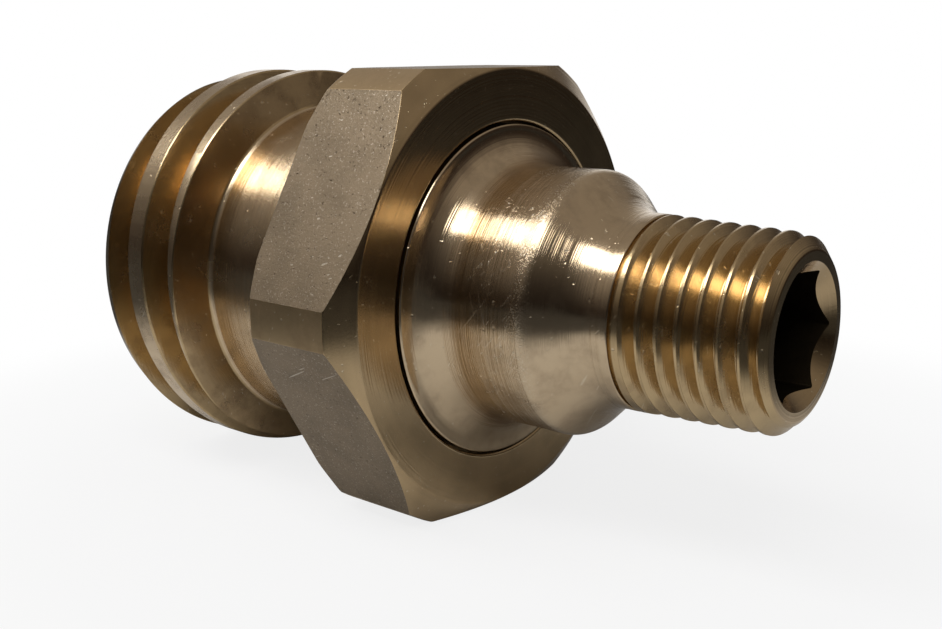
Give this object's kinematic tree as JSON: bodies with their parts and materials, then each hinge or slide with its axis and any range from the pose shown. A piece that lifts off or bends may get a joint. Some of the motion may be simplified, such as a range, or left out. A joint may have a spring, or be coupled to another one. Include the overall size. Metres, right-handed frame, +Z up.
{
  "type": "propane adapter fitting",
  "caption": "Brass gas adapter with a coarse Acme male thread and mouth, a hexagon, and a domed end with a tapered pipe thread and Allen socket; a sprung check poppet inside.",
  "frame": {"origin": "on the resting plane, under the middle of the fitting's length", "axes": "+X along the fitting's axis towards the tapered pipe thread, +Z up, with the hexagon lying on one flat and its corners towards +Y and -Y"},
  "size_m": [0.0538, 0.037, 0.0333],
  "materials": {
    "body_brass": "turned, hexagon flats matt as drawn",
    "connector_brass": "polished, lightly scratched",
    "poppet_brass": "turned",
    "seal_rubber": "matt black",
    "spring_steel": "drawn wire"
  },
  "bodies": {
    "fitting": {"fitting_body": "body_brass", "end_connector": "connector_brass", "connector_seal": "seal_rubber", "poppet_guide": "poppet_brass", "valve_spring": "spring_steel"},
    "check_valve": {"poppet": "poppet_brass", "poppet_seal": "seal_rubber"}
  },
  "joints": [
    {"name": "poppet_slide", "type": "slide", "parent": "fitting", "child": "check_valve", "axis": [1, 0, 0], "range_m": [0, 0.003], "stiffness_N_per_m": 330, "springref_m": -0.006, "deforming": ["valve_spring"]}
  ]
}
